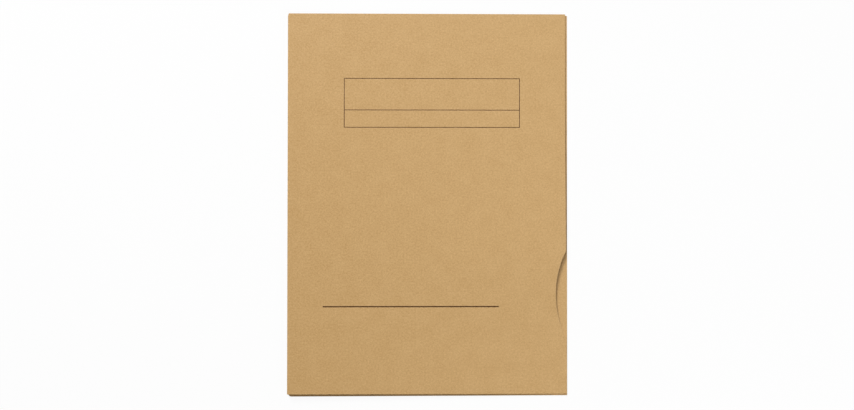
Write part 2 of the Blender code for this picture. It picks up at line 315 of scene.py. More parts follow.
def new_finish(name):
    """A material with a bare Principled shader, its tree and that shader."""
    material = bpy.data.materials.new(name)
    material.use_nodes = True
    return material, material.node_tree, material.node_tree.nodes["Principled BSDF"]


def blank_lengths(tree):
    """Place on the flat blank, in metres."""
    return place(tree, "UVMap", uv_map=LENGTHS).outputs[0]


def rim_mask(tree):
    """1 along the cut edges of a sheet, and 0 inside."""
    return place(tree, "Attribute", attribute_name=RIM).outputs["Fac"]


def wire_surface(tree, shader, colour, surface, bump, relief):
    """Feed a shader with a colour, and with a group's roughness and relief."""
    tree.links.new(colour, shader.inputs["Base Color"])
    tree.links.new(surface["Roughness"], shader.inputs["Roughness"])
    inputs = {"Strength": bump, "Distance": relief, "Height": surface["Height"]}
    tree.links.new(place(tree, "Bump", inputs).outputs[0], shader.inputs["Normal"])


print("surface groups put out", ", ".join(SURFACE))

# %% [markdown]
# ## Kraft fibres
# Kraft board is unbleached wood fibre. Near to, it is a felt of pale and dark hairs with a few dark specks
# of bark; from a step away it is a fine grain with soft clouds, because the fibres never settle evenly, and
# with faint streaks along the way the web ran. A photo of board could be wrapped round the covers, but it
# would repeat and blur. Here noise of three sizes gives the grain, clouds and streaks, and thin ridges of
# stretched noise, turned to several directions, give the hairs. Wider and rarer ridges give the splinters
# of bark. A slow drift makes the board paler towards +X: that drift is painted light, which stands in for
# light falling more brightly on the right of the page. The covers, the glued strip and every cut edge
# use this, so it is a group with its own tones and amounts.

# %% Kraft fibre group
PALE_TURNS = (0.35, 1.45, 2.6)
DARK_TURNS = (0.9, 2.05, 2.95)
BARK_TURNS = (0.2, 1.7)
SHIFT_PER_TURN = 9
HAIR_SIZE, HAIR_RIDGE = (2.6, 0.16, 1), (0.60, 0.70)
BARK_SIZE, BARK_RIDGE = (2.4, 0.7, 1), (0.75, 0.81)
PALE_HAIR, DARK_HAIR, BARK = 0.32, -0.36, -1.1
GRAIN_SCALE, GRAIN_ROUGHNESS, GRAIN_RELIEF = 0.72, 0.72, 0.25
CLOUD_SCALE = 0.07
WEB_SCALE, STREAKS = (0.5, 0.02, 1.0), 0.08
MIDDLE_TONE = 0.5
GRAIN_RANGE, BOARD_ROUGHNESS = (0.2, 0.8), (0.55, 0.43)


def ridges(tree, lengths, turn, size, ridge, shift=0.0):
    """Mask of the ridges of noise that is stretched to a size and turned."""
    inputs = {"Vector": lengths, "Location": (shift, 0, 0), "Rotation": (0, 0, turn), "Scale": size}
    laid = place(tree, "Mapping", inputs, vector_type="TEXTURE").outputs[0]
    return remap(tree, noise(tree, laid, detail=1.0), *ridge)


def hairs_at(tree, lengths, turns, size, ridge):
    """Mask of hairs or splinters of one size that lie at a few turns on the sheet."""
    found = 0.0
    for turn in turns:
        hairs = ridges(tree, lengths, turn, size, ridge, shift=turn * SHIFT_PER_TURN)
        found = reckon(tree, "MAXIMUM", found, hairs)
    return found


def kraft_fibres():
    """Group: colour, relief and roughness of kraft board, by the place on its blank."""
    inputs = {"Lengths": "Vector", "Pale Tone": "Color", "Deep Tone": "Color",
              "Grain": "Float", "Clouds": "Float", "Painted Light Drift": "Float"}
    tree, given, result = new_group("Kraft fibres", inputs, SURFACE)
    lengths = scaled(tree, given["Lengths"], PER_MM)
    grain = noise(tree, lengths, detail=3.0, scale=GRAIN_SCALE, rough=GRAIN_ROUGHNESS)
    clouds = noise(tree, lengths, detail=3.0, scale=CLOUD_SCALE)
    streaks = noise(tree, scaled(tree, lengths, WEB_SCALE), detail=2.0)
    pale_hairs = hairs_at(tree, lengths, PALE_TURNS, HAIR_SIZE, HAIR_RIDGE)
    dark_hairs = hairs_at(tree, lengths, DARK_TURNS, HAIR_SIZE, HAIR_RIDGE)
    bark = hairs_at(tree, lengths, BARK_TURNS, BARK_SIZE, BARK_RIDGE)
    across = place(tree, "SeparateXYZ", {0: given["Lengths"]}).outputs[0]
    # painted light: the tone grows paler towards +X, for light falling more brightly on the right of the
    # page
    tone = add_share(tree, MIDDLE_TONE, across, given["Painted Light Drift"])
    for pattern, amount in ((grain, given["Grain"]), (clouds, given["Clouds"]), (streaks, STREAKS)):
        tone = add_share(tree, tone, reckon(tree, "SUBTRACT", pattern, MIDDLE_TONE), amount)
    for mask, amount in ((pale_hairs, PALE_HAIR), (dark_hairs, DARK_HAIR), (bark, BARK)):
        tone = add_share(tree, tone, mask, amount)
    held = place(tree, "Clamp", {0: tone}).outputs[0]
    tree.links.new(mix_colour(tree, held, given["Deep Tone"], given["Pale Tone"]), result["Color"])
    hairs = reckon(tree, "MAXIMUM", pale_hairs, dark_hairs)
    tree.links.new(add_share(tree, hairs, grain, GRAIN_RELIEF), result["Height"])
    tree.links.new(remap(tree, grain, *GRAIN_RANGE, *BOARD_ROUGHNESS), result["Roughness"])
    return tree


KRAFT_FIBRES = kraft_fibres()
print(KRAFT_FIBRES.name, "has", len(KRAFT_FIBRES.nodes), "nodes")

# %% [markdown]
# ## Printed lines
# The cover is printed in one dark ink: a title frame with a dividing line, and a heavier rule lower down. A
# print could be a picture, but then it blurs when it is enlarged. Here each line is a rectangle in real
# lengths: the distance from its middle, less its half size, is below zero inside the line. The ink soaks
# into the fibres, so the border is soft by a few hundredths of a millimetre.

# %% Printed line group
INK_SPREAD = 0.04 * MM


def printed_line():
    """Group: ink inside one rectangle of the blank."""
    inputs = {"Lengths": "Vector", "Middle X": "Float", "Middle Y": "Float",
              "Half X": "Float", "Half Y": "Float"}
    tree, given, result = new_group("Printed line", inputs, {"Ink": "Float"})
    split = place(tree, "SeparateXYZ", {0: given["Lengths"]}).outputs
    beyond = []
    for axis, letter in enumerate("XY"):
        offset = reckon(tree, "ABSOLUTE", reckon(tree, "SUBTRACT", split[axis], given["Middle " + letter]))
        beyond.append(reckon(tree, "SUBTRACT", offset, given["Half " + letter]))
    outside = reckon(tree, "MAXIMUM", *beyond)
    tree.links.new(remap(tree, outside, -INK_SPREAD, INK_SPREAD, 1.0, 0.0), result["Ink"])
    return tree


PRINTED_LINE = printed_line()
print(PRINTED_LINE.name, "has", len(PRINTED_LINE.nodes), "nodes")

# %% Lines on the cover
FRAME_LEFT, FRAME_RIGHT = -70.0 * MM, 77.6 * MM
FRAME_LEVELS = (65.0 * MM, 79.6 * MM, 106.2 * MM)
FRAME_LINE = 0.62 * MM
RULE_LEFT, RULE_RIGHT, RULE_Y = -87.2 * MM, 59.3 * MM, -85.67 * MM
RULE_LINE = 1.12 * MM


def ruled(left, right, bottom, top, line):
    """Middle and half sizes of a line of some width between two ends."""
    return (left + right) / 2, (bottom + top) / 2, (right - left + line) / 2, (top - bottom + line) / 2


PRINT = [ruled(RULE_LEFT, RULE_RIGHT, RULE_Y, RULE_Y, RULE_LINE)]
PRINT += [ruled(FRAME_LEFT, FRAME_RIGHT, y, y, FRAME_LINE) for y in FRAME_LEVELS]
PRINT += [ruled(x, x, FRAME_LEVELS[0], FRAME_LEVELS[-1], FRAME_LINE) for x in (FRAME_LEFT, FRAME_RIGHT)]
print(len(PRINT), "printed lines")

# %% [markdown]
# ## Board finishes
# Four finishes share the fibres: the printed outer face, the plain faces, the paler cut edge where the
# layers of the board show, and the darker strip inside. One brown for all would be simpler, but the edges
# would vanish. The board is calendered, so it has a dull gloss that a low lamp brings out. The rim mask
# mixes the rim of a cover a little paler: partly wear from handling, and partly a painted highlight where
# the cut edge catches the light.

# %% Board finishes
KRAFT_TONES = (0.653, 0.427, 0.199, 1), (0.469, 0.279, 0.103, 1)
CUT_TONES = (0.66, 0.45, 0.22, 1), (0.50, 0.31, 0.13, 1)
STRIP_TONES = (0.47, 0.315, 0.150, 1), (0.33, 0.210, 0.088, 1)
# paler tone at the rim: partly wear, partly a painted highlight of the lit cut edge
WEAR_AND_HIGHLIGHT_TONE = (0.70, 0.48, 0.235, 1)
RIM_FALL = 2.0
INK = (0.060, 0.022, 0.003, 1)
INK_RELIEF, INK_COVER = (0.2, 1.4), (1.0, 0.9)
FIBRE_BUMP, FIBRE_RELIEF = 0.35, 0.012 * MM
BOARD_SPECULAR = 0.3
# painted light: how much paler the board grows per metre towards +X
PAINTED_LIGHT_DRIFT = 0.9


def board_finish(name, tones, grain, clouds, wear_and_highlight=0.6, lines=()):
    """A kraft finish between two tones, printed with lines, rim paler from wear and painted highlight."""
    material, tree, shader = new_finish(name)
    lengths = blank_lengths(tree)
    inputs = {"Lengths": lengths, "Pale Tone": tones[0], "Deep Tone": tones[1],
              "Grain": grain, "Clouds": clouds, "Painted Light Drift": PAINTED_LIGHT_DRIFT}
    fibres = place(tree, "Group", inputs, node_tree=KRAFT_FIBRES).outputs
    # rim mix: wear from handling and a painted highlight where the cut edge catches the light
    rim_share = reckon(tree, "MULTIPLY", reckon(tree, "POWER", rim_mask(tree), RIM_FALL), wear_and_highlight)
    colour = mix_colour(tree, rim_share, fibres["Color"], WEAR_AND_HIGHLIGHT_TONE)
    ink = 0.0
    for line in lines:
        inputs = dict(enumerate((lengths, *line)))
        drawn = place(tree, "Group", inputs, node_tree=PRINTED_LINE).outputs[0]
        ink = reckon(tree, "MAXIMUM", ink, drawn)
    if lines:
        cover = remap(tree, fibres["Height"], *INK_RELIEF, *INK_COVER)
        colour = mix_colour(tree, reckon(tree, "MULTIPLY", ink, cover), colour, INK)
    wire_surface(tree, shader, colour, fibres, FIBRE_BUMP, FIBRE_RELIEF)
    shader.inputs["Specular IOR Level"].default_value = BOARD_SPECULAR
    return material


PRINTED_BOARD = board_finish("printed kraft board", KRAFT_TONES, grain=1.85, clouds=0.4, lines=PRINT)
PLAIN_BOARD = board_finish("plain kraft board", KRAFT_TONES, grain=1.85, clouds=0.4, wear_and_highlight=0.25)
CUT_BOARD = board_finish("cut kraft edge", CUT_TONES, grain=0.7, clouds=0.2)
STRIP_BOARD = board_finish("strip board", STRIP_TONES, grain=1.8, clouds=0.4)
print("four board finishes share", KRAFT_FIBRES.name)

# %% [markdown]
# ## The back cover
# The back cover lies on the table and turns up at its crease into the spine. Two flat panels that meet at a
# line would be simpler, but they would gape when opened. So the fold is a real bend in the mesh. The lower
# corner at the crease is cut off at a slant, as on the real blank. Creasing is never exact, so the cover
# sits a hair out of square and shows as a strip that narrows along the bottom and down the free edge.

# %% Fold path
FOLD_CELLS = 10


def bend_points(first, corner, last, radius, cells):
    """Points on the arc that rounds the corner between two straight runs, in two coordinates."""
    towards = (first - corner).normalized()
    away = (last - corner).normalized()
    half = towards.angle(away) / 2
    centre = corner + (towards + away).normalized() * (radius / math.sin(half))
    start = corner + towards * (radius / math.tan(half)) - centre
    end = corner + away * (radius / math.tan(half)) - centre
    turn = start.angle_signed(end)
    points = []
    for step in range(cells + 1):
        angle = -turn * step / cells
        cosine, sine = math.cos(angle), math.sin(angle)
        swung = Vector((start.x * cosine - start.y * sine, start.x * sine + start.y * cosine))
        points.append(centre + swung)
    return points


def path_lengths(path):
    """Length run along a path of points at each of them."""
    steps = [(after - before).length for before, after in zip(path, path[1:])]
    return np.concatenate([[0], np.cumsum(steps)])


def lengths_to_flat(path, flat_start):
    """Blank length at each point of a bent path that ends where the flat sheet starts."""
    run = path_lengths(path)
    return flat_start - (run[-1] - run)


def unrolled(middle, along, across):
    """Places on the flat blank: the length along the bend, and the points' own place on the other axis."""
    return np.stack([np.broadcast_to(along, middle.shape[:2]), middle[:, :, across]], axis=2)


back_fold = bend_points(Vector((BACK_CREASE.x, 1)), BACK_CREASE.xz, Vector((1, BACK_CREASE.z)),
                        BOARD_FOLD, FOLD_CELLS)
print("the back fold takes", in_mm(path_lengths(back_fold)[-1:]), "mm")

# %% Edges of a cover
COVER_CORNER = 0.35 * MM
BOARD_EDGE = 0.04 * MM
RIM_BAND = 0.9 * MM


def corner_inset(distance, radius):
    """How far a rounded corner draws the side in, at a distance from the end."""
    inside = np.clip(radius - distance, 0, radius)
    return radius - np.sqrt(radius ** 2 - inside ** 2)


def cover_rows(low, high, *runs):
    """Rows up a cover's box: close together at its corners and along its rims, then as the runs say."""
    closing = np.array([0, COVER_CORNER, COVER_CORNER + RIM_BAND])
    return np.concatenate([low.y + closing, stations(*runs), high.y - closing[::-1]])


def cover_inset(rows):
    """How far the rounded corners of a cover draw its side in, at each row."""
    return corner_inset(np.minimum(rows - rows[0], rows[-1] - rows), COVER_CORNER)


def between_edges(rows, bottom, top):
    """Rows spread between a bottom and a top edge that change along the sheet."""
    share_up = (rows - rows[0]) / (rows[-1] - rows[0])
    return bottom + share_up[:, None] * (top - bottom)


print("corners and rims take", in_mm((COVER_CORNER, RIM_BAND)), "mm")

# %% Back board's section and edges
FINE_RUN = 3 * MM
BACK_ROW_MARGIN = 4 * MM
BACK_TURN_LEFT, BACK_TURN_RIGHT, BACK_TURN_EASE = -0.25 * MM, 0.75 * MM, 4 * MM
BACK_CUT_RUN, BACK_CUT_START = 2.1 * MM, 0.2 * MM
PAST_FOLD = FOLD_CELLS + 2

fold_end = back_fold[-1]
fine_end = fold_end.x + FINE_RUN
rim_start = back_high.x - RIM_BAND
flat_x = stations((fold_end.x, fine_end, 6), (fine_end, rim_start, 28), (rim_start, back_high.x, 1))[1:]
back_x = np.concatenate([[point.x for point in back_fold], flat_x])
back_z = np.concatenate([[point.y for point in back_fold], np.full(len(flat_x), BACK_CREASE.z)])
back_run = np.concatenate([lengths_to_flat(back_fold, fold_end.x), flat_x])
rows = cover_rows(back_low, back_high, (back_low.y + BACK_ROW_MARGIN, back_high.y - BACK_ROW_MARGIN, 40))
past_crease = back_run - BACK_CREASE.x
turned = np.interp(back_x, (back_low.x, back_high.x), (BACK_TURN_LEFT, BACK_TURN_RIGHT))
turned *= smooth(past_crease / BACK_TURN_EASE)
bottom = back_low.y + turned
top = back_high.y + turned
cut_run = np.clip(past_crease + BACK_CUT_START, 0, None)
cut_line = spine_low.y - cut_run * (spine_low.y - bottom[PAST_FOLD]) / BACK_CUT_RUN
bottom = np.maximum(bottom, cut_line)
print("back board: bottom edge from and to", in_mm((bottom[PAST_FOLD], bottom[-1])), "mm")

# %% Back board
BACK_SPARE, BACK_OUT_OF_SQUARE = 0.22 * MM, 0.30 * MM
BACK_RIPPLE, RIPPLE_PER_METRE = 0.05 * MM, 31

leaning = BACK_SPARE + BACK_OUT_OF_SQUARE * rows / back_high.y
reach = np.clip((back_x - fold_end.x) / (back_high.x - fold_end.x), 0, 1)
x = back_x + (leaning - cover_inset(rows))[:, None] * reach
ripple = BACK_RIPPLE * reach * (1 + np.sin(rows[:, None] * RIPPLE_PER_METRE))
middle = grid(x, between_edges(rows, bottom, top), back_z + ripple)
blank = unrolled(middle, back_run, across=1)
back_mesh = sheet_mesh("back_board", middle, blank, BOARD, BOARD_EDGE, joined_start=True)
back_board = add_piece("back_board", back_mesh, PLAIN_BOARD, PLAIN_BOARD, CUT_BOARD)

# %% [markdown]
# ## The front cover and the spine
# The front cover is the face that the photo shows. It falls a little towards its free edge, because the
# fastener holds it up on the left, and board is never quite flat: the free edge lifts in the middle, so
# that a shadow shows beside it, and lies down at both corners. Nor is its cut quite straight: it is hollow
# by a third of a millimetre above the notch and flares out below it, where it hides the back cover. The
# thumb notch is a shallow arc in that edge. A Boolean could cut it, but would leave slivers, so the rows of
# the grid bunch up along the arc and every row ends on it.

# %% Free edge of the front cover
NOTCH_RADIUS = 81 * MM
NOTCH_DEPTH = 8.7 * MM
NOTCH_Y = -75.55 * MM
LIFT_PLACES = (-160 * MM, -124 * MM, -40 * MM, 110 * MM, 162 * MM)
LIFT_HEIGHTS = (-0.42 * MM, -0.40 * MM, 1.9 * MM, -0.1 * MM, -0.35 * MM)
HOLLOW_Y, HOLLOW_HALF, HOLLOW_DEPTH = 62 * MM, 130 * MM, 0.37 * MM
FLARE_TOP, FLARE_RUN, FLARE = -98 * MM, 24 * MM, 0.65 * MM

half_notch = math.sqrt(NOTCH_RADIUS ** 2 - (NOTCH_RADIUS - NOTCH_DEPTH) ** 2)


def free_edge(y):
    """Place of the front cover's free edge at each row, with its notch and its round corners."""
    across = np.clip(abs(y - NOTCH_Y), 0, half_notch)
    notch = np.sqrt(NOTCH_RADIUS ** 2 - across ** 2) - (NOTCH_RADIUS - NOTCH_DEPTH)
    hollow = HOLLOW_DEPTH * (1 - smooth(abs(y - HOLLOW_Y) / HOLLOW_HALF))
    flare = FLARE * smooth((FLARE_TOP - y) / FLARE_RUN)
    return front_high.x - notch - (hollow - flare) - cover_inset(y)


def free_edge_lift(y):
    """How far the free edge stands off its level line, eased between a few places."""
    lift = np.full_like(y, LIFT_HEIGHTS[0])
    for start, end, low, high in zip(LIFT_PLACES, LIFT_PLACES[1:], LIFT_HEIGHTS, LIFT_HEIGHTS[1:]):
        lift += (high - low) * smooth((y - start) / (end - start))
    return lift


print("the notch is", in_mm([2 * half_notch]), "mm wide")

# %% Front board's section and rows
SPINE_STATIONS = 5
FINE_SHARE, RIM_SHARE = 0.012, 0.9962
NOTCH_CELLS = 36
BOTTOM_ROW_MARGIN, TOP_ROW_MARGIN = 5 * MM, 4 * MM

seam_z = back_fold[0].y
falling = Vector((1, FRONT_CREASE.z - FRONT_SLOPE * (1 - FRONT_CREASE.x)))
front_fold = bend_points(Vector((FRONT_CREASE.x, seam_z)), FRONT_CREASE.xz, falling,
                         BOARD_FOLD, FOLD_CELLS)
spine_z = np.linspace(seam_z, front_fold[0].y, SPINE_STATIONS)[:-1]
bent = [Vector((FRONT_CREASE.x, z)) for z in spine_z] + front_fold
flat_start = bent[-1]
flat_share = stations((0, FINE_SHARE, 5), (FINE_SHARE, RIM_SHARE, 30), (RIM_SHARE, 1, 1))[1:]
notch_ends = (NOTCH_Y - half_notch, NOTCH_Y + half_notch)
rows = cover_rows(front_low, front_high, (front_low.y + BOTTOM_ROW_MARGIN, notch_ends[0], 5),
                  (*notch_ends, NOTCH_CELLS), (notch_ends[1], front_high.y - TOP_ROW_MARGIN, 24))
print("front board:", len(rows), "rows of", len(bent) + len(flat_share), "points")

# %% Front board
FRONT_TRIM = 0.15 * MM

flat_x = flat_start.x + flat_share * (free_edge(rows)[:, None] - flat_start.x)
reach = (flat_x - flat_start.x) / (front_high.x - flat_start.x)
lift = free_edge_lift(rows)[:, None] * reach ** 2
flat_z = flat_start.y - FRONT_SLOPE * (flat_x - flat_start.x) + lift
bent_x, bent_z = (np.tile(places, (len(rows), 1)) for places in zip(*bent))
onto_spine = np.concatenate([np.linspace(1, 0, len(bent)), np.zeros(len(flat_share))])
bottom = front_low.y + FRONT_TRIM * (1 - onto_spine) + (spine_low.y - front_low.y) * onto_spine
top = front_high.y + (spine_high.y - front_high.y) * smooth(2 * onto_spine)
y = between_edges(rows, bottom, top)
middle = grid(np.hstack([bent_x, flat_x]), y, np.hstack([bent_z, flat_z]))
blank = middle[:, :, :2].copy()
blank[:, :len(bent), 0] = lengths_to_flat(bent, flat_start.x)
front_mesh = sheet_mesh("front_board", middle, blank, BOARD, BOARD_EDGE, joined_start=True)
front_board = add_piece("front_board", front_mesh, PRINTED_BOARD, PLAIN_BOARD, CUT_BOARD)

# %% [markdown]
# ## Folds between two bodies
# Both boards cross a crease, so each one lies between two bodies. A sharp change at the crease would tear
# or pleat the bend. Here each sheet is baked in place, and the bodies on either side of its bend are
# printed; no blend between them is set up.


def blend_over_fold(piece, first_body, second_body, start, end):
    """Bake a sheet's place into its mesh and print the bodies on either side of its crease."""
    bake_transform(piece)
    print(piece.name, "bends from", first_body, "to", second_body)


def across_page(point):
    """A point of a cover's section, in the frame."""
    return Vector((point.x, 0, point.y))


blend_over_fold(back_board, "back", "spine", across_page(back_fold[-1]), across_page(back_fold[0]))
blend_over_fold(front_board, "spine", "front", across_page(front_fold[0]), across_page(front_fold[-1]))
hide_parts("back_cover")
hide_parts("front_cover", "spine_panel")

# %% [markdown]
# ## Steel finishes
# The base and the prongs are tinplate, rolled bright and a little soft; the bar and its clips are pressed
# from steel and plated with nickel. Rolling leaves fine lines along the strip, handling leaves a few longer
# scratches, and plating is never even. One grey with one roughness would look like plastic, because all of
# this is a matter of gloss more than of colour. So the group puts out roughness and relief as well as a
# tint, and each finish sets its own tone.

# %% Rolled steel group
PATCH_SCALE, PATCH_RANGE, PATCH_GLOSS = 0.35, (0.3, 0.7), (0.06, -0.03)
LINE_RANGE, LINE_GLOSS = (0.25, 0.75), (0.17, 0.28)
SCRATCH_TURN, SCRATCH_SIZE, SCRATCH_RIDGE, SCRATCH_GLOSS = 0.5, (8.0, 0.2, 1), (0.66, 0.74), 0.15


def rolled_steel():
    """Group: tint, relief and roughness of rolled and plated sheet, by the place on its blank."""
    inputs = {"Lengths": "Vector", "Bright Tone": "Color", "Dull Tone": "Color", "Line Scale": "Vector"}
    tree, given, result = new_group("Rolled steel", inputs, SURFACE)
    lengths = scaled(tree, given["Lengths"], PER_MM)
    lines = noise(tree, scaled(tree, lengths, given["Line Scale"]), detail=3.0)
    patches = noise(tree, lengths, detail=3.0, scale=PATCH_SCALE)
    scratches = ridges(tree, lengths, SCRATCH_TURN, SCRATCH_SIZE, SCRATCH_RIDGE)
    evenness = remap(tree, patches, *PATCH_RANGE)
    tree.links.new(mix_colour(tree, evenness, given["Dull Tone"], given["Bright Tone"]), result["Color"])
    in_lines = remap(tree, lines, *LINE_RANGE, *LINE_GLOSS)
    in_patches = remap(tree, patches, *PATCH_RANGE, *PATCH_GLOSS)
    roughness = add_share(tree, reckon(tree, "ADD", in_lines, in_patches), scratches, SCRATCH_GLOSS)
    tree.links.new(roughness, result["Roughness"])
    tree.links.new(reckon(tree, "SUBTRACT", lines, scratches), result["Height"])
    return tree


ROLLED_STEEL = rolled_steel()
print(ROLLED_STEEL.name, "has", len(ROLLED_STEEL.nodes), "nodes")

# %% Steel finishes
STEEL_BUMP, STEEL_RELIEF = 0.4, 0.004 * MM
ALONG_U, ALONG_V = (0.15, 9.0, 1.0), (9.0, 0.15, 1.0)
TIN_TONES = (0.48, 0.48, 0.47, 1), (0.39, 0.39, 0.385, 1)
NICKEL_TONES = (0.50, 0.485, 0.455, 1), (0.43, 0.415, 0.385, 1)


def steel_finish(name, tones, line_scale):
    """A finish of rolled steel between a bright and a dull tone, worn bright at its rim."""
    material, tree, shader = new_finish(name)
    inputs = {"Lengths": blank_lengths(tree), "Bright Tone": tones[0], "Dull Tone": tones[1],
              "Line Scale": line_scale}
    steel = place(tree, "Group", inputs, node_tree=ROLLED_STEEL).outputs
    colour = mix_colour(tree, rim_mask(tree), steel["Color"], tones[0])
    wire_surface(tree, shader, colour, steel, STEEL_BUMP, STEEL_RELIEF)
    shader.inputs["Metallic"].default_value = 1.0
    return material


TINPLATE = steel_finish("tinplate", TIN_TONES, ALONG_U)
NICKEL = steel_finish("nickel plate", NICKEL_TONES, ALONG_V)
print("steel finishes:", TINPLATE.name, "and", NICKEL.name)

# %% [markdown]
# ## The board strip
# A strip of darker board is glued inside the back cover and holds the fastener's base down. A raised box
# would do for its middle, but board drapes over steel as a soft crown, not a step. So the crown is a height
# over the grid, and the slots where the prongs come through are left-out cells.

# %% Places of the fastener
strip_low, strip_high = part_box("fastener_strip")
bar_low, bar_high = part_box("compressor_bar")
FASTENER_X = (bar_low.x + bar_high.x) / 2
BEND = Vector(joints["prong_upper_bend"]["pos_m"])
SLOT_X = 3.0 * MM
SLOT_NEAR, SLOT_FAR = BEND.y - 0.65 * MM, BEND.y + 0.65 * MM
ARC_TURN = math.radians(75)


def mirrored(half):
    """Stations on both sides of zero, from those on one side."""
    return np.concatenate([-half[:0:-1], half])


def slot_cells(columns, rows, near, far):
    """Cells of a slot from near to far along the fastener, and of its twin on the other side."""
    across = cells_between(columns, -SLOT_X, SLOT_X)
    return [(cells_between(rows, low, high), across) for low, high in ((near, far), (-far, -near))]


print("fastener at x and prongs at y:", in_mm((FASTENER_X, BEND.y, -BEND.y)), "mm")

# %% Board strip
STRIP_CORNER, CORNER_STATIONS = 5 * MM, 6
STRIP_FIXED = 8 * MM
GLUE = 0.03 * MM
CROWN_X, CROWN_Y, CROWN_EASE = 4.4 * MM, 42.1 * MM, 1.8 * MM

strip_half_x = (strip_high.x - strip_low.x) / 2
strip_half_y = (strip_high.y - strip_low.y) / 2
arc_end = strip_half_y + STRIP_CORNER * (1 - math.sin(ARC_TURN))
straight = arc_end - STRIP_CORNER
corner_turn = np.linspace(0, ARC_TURN, CORNER_STATIONS)[1:]
strip_rim = strip_half_x - RIM_BAND
columns = mirrored(stations((0, STRIP_FIXED, 16), (STRIP_FIXED, strip_rim, 5),
                            (strip_rim, strip_half_x, 1)))
half_rows = stations((0, SLOT_NEAR - MM, 10), (SLOT_NEAR - MM, SLOT_NEAR, 2), (SLOT_NEAR, SLOT_FAR, 2),
                     (SLOT_FAR, CROWN_Y + CROWN_EASE, 8), (CROWN_Y + CROWN_EASE, straight, 6))
rows = mirrored(np.concatenate([half_rows, straight + STRIP_CORNER * np.sin(corner_turn)]))
across, up = np.meshgrid(columns, rows)
side = strip_half_x - corner_inset(arc_end - abs(up), STRIP_CORNER)
beyond = np.clip(abs(across) - STRIP_FIXED, 0, None)
drawn_in = beyond * (side - STRIP_FIXED) / (strip_half_x - STRIP_FIXED)
x = np.sign(across) * (np.minimum(abs(across), STRIP_FIXED) + drawn_in)
crown = (1 - smooth((abs(x) - CROWN_X) / CROWN_EASE)) * (1 - smooth((abs(up) - CROWN_Y) / CROWN_EASE))
strip_level = BOARD + GLUE + BOARD / 2
height = strip_level + crown * (strip_high.z - BOARD / 2 - strip_level)
middle = grid(FASTENER_X + x, up, height)
slots = slot_cells(columns, rows, SLOT_NEAR, SLOT_FAR)
strip_mesh = sheet_mesh("fastener_strip_board", middle, middle[:, :, :2], BOARD, BOARD_EDGE, slots)
strip = add_piece("fastener_strip_board", strip_mesh, STRIP_BOARD, STRIP_BOARD, CUT_BOARD)
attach(strip, "back")
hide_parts("fastener_strip")

# %% [markdown]
# ## Base and prongs
# The base and its two prongs are one strip of tinplate with its ends bent up. It could stay one mesh, but
# the part under the board strip never moves, and each prong bends where it comes out of its slot. So the
# steel is parted inside the slots: the base rides on the back cover, and each prong is a tongue with a
# bend.

# %% Steel base
STEEL = 0.3 * MM
STEEL_EDGE = 0.04 * MM
STEEL_CELLS = 6
PRONG_HALF = 2.5 * MM
PARTING_Z = 1.5 * MM
BASE_BEND, BASE_BEND_CELLS = 0.55 * MM, 6


def add_steel(name, middle, blank, finish, slots=()):
    """A piece of sheet steel with one finish all over."""
    mesh = sheet_mesh(name, middle, blank, STEEL, STEEL_EDGE, slots)
    return add_piece(name, mesh, finish, finish, finish)


def along_fastener(path, half_widths):
    """Grid and blank of a strip of steel on a path in Y and Z, given its half width or widths."""
    shares = np.linspace(-1, 1, STEEL_CELLS + 1)
    middle = grid(FASTENER_X + shares[:, None] * half_widths, *zip(*path))
    return middle, unrolled(middle, path_lengths(path), across=0)


base_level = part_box("fastener_base")[0].z + STEEL / 2
foot = [Vector((y, base_level)) for y in (BEND.y, -BEND.y)]
risers = [Vector((y, PARTING_Z)) for y in (BEND.y, -BEND.y)]
path = [risers[0]] + bend_points(risers[0], foot[0], foot[1], BASE_BEND, BASE_BEND_CELLS)
path += bend_points(foot[0], foot[1], risers[1], BASE_BEND, BASE_BEND_CELLS) + [risers[1]]
middle, blank = along_fastener(path, PRONG_HALF)
base = add_steel("fastener_base_strip", middle, blank, TINPLATE)
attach(base, "back")
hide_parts("fastener_base")

# %% Prongs
PRONG_LENGTH = 28 * MM
PRONG_FOLD, PRONG_FOLD_CELLS = fold_radius(STEEL), 8
PRONG_STATIONS, TIP_STATIONS = 10, 9


def make_prong(name, body, side):
    """One tongue, up from its slot and flat along the bar's groove. side is the sign of its Y."""
    root = Vector((BEND.y, PARTING_Z))
    tip = Vector((BEND.y - PRONG_LENGTH, BEND.z))
    bend = bend_points(root, BEND.yz, tip, PRONG_FOLD, PRONG_FOLD_CELLS)
    tip_turn = np.linspace(0, ARC_TURN, TIP_STATIONS)
    shoulder = tip.x + PRONG_HALF * math.sin(ARC_TURN)
    straight = np.linspace(bend[-1].x, shoulder, PRONG_STATIONS)[1:-1]
    flat_y = np.concatenate([straight, shoulder - PRONG_HALF * np.sin(tip_turn)])
    path = [root] + bend + [Vector((y, BEND.z)) for y in flat_y]
    half_widths = np.full(len(path), PRONG_HALF)
    half_widths[-TIP_STATIONS:] *= np.cos(tip_turn)
    middle, blank = along_fastener(path, half_widths)
    middle[:, :, 1] *= side
    middle[:, :, 0] = FASTENER_X + side * (middle[:, :, 0] - FASTENER_X)
    prong = add_steel(name, middle, blank, TINPLATE)
    ends = [Vector((FASTENER_X, side * point.x, point.y)) for point in (bend[0], bend[-1])]
    blend_over_fold(prong, "back", body, *ends)
    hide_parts(body)
    return prong


upper_prong = make_prong("prong_tongue_upper", "prong_upper", side=1)
lower_prong = make_prong("prong_tongue_lower", "prong_lower", side=-1)

# %% [markdown]
# ## The compressor bar
# The bar is pressed from one strip: a groove down its middle takes the prongs, and the two wings beside it
# carry the clips. Four dimples near the ends keep the clips from running off. A profile could be drawn out
# along the bar, but it would have no dimples. All of this is one height field over a flat strip, so the
# grid's height follows a formula, and the two slots are left-out cells.

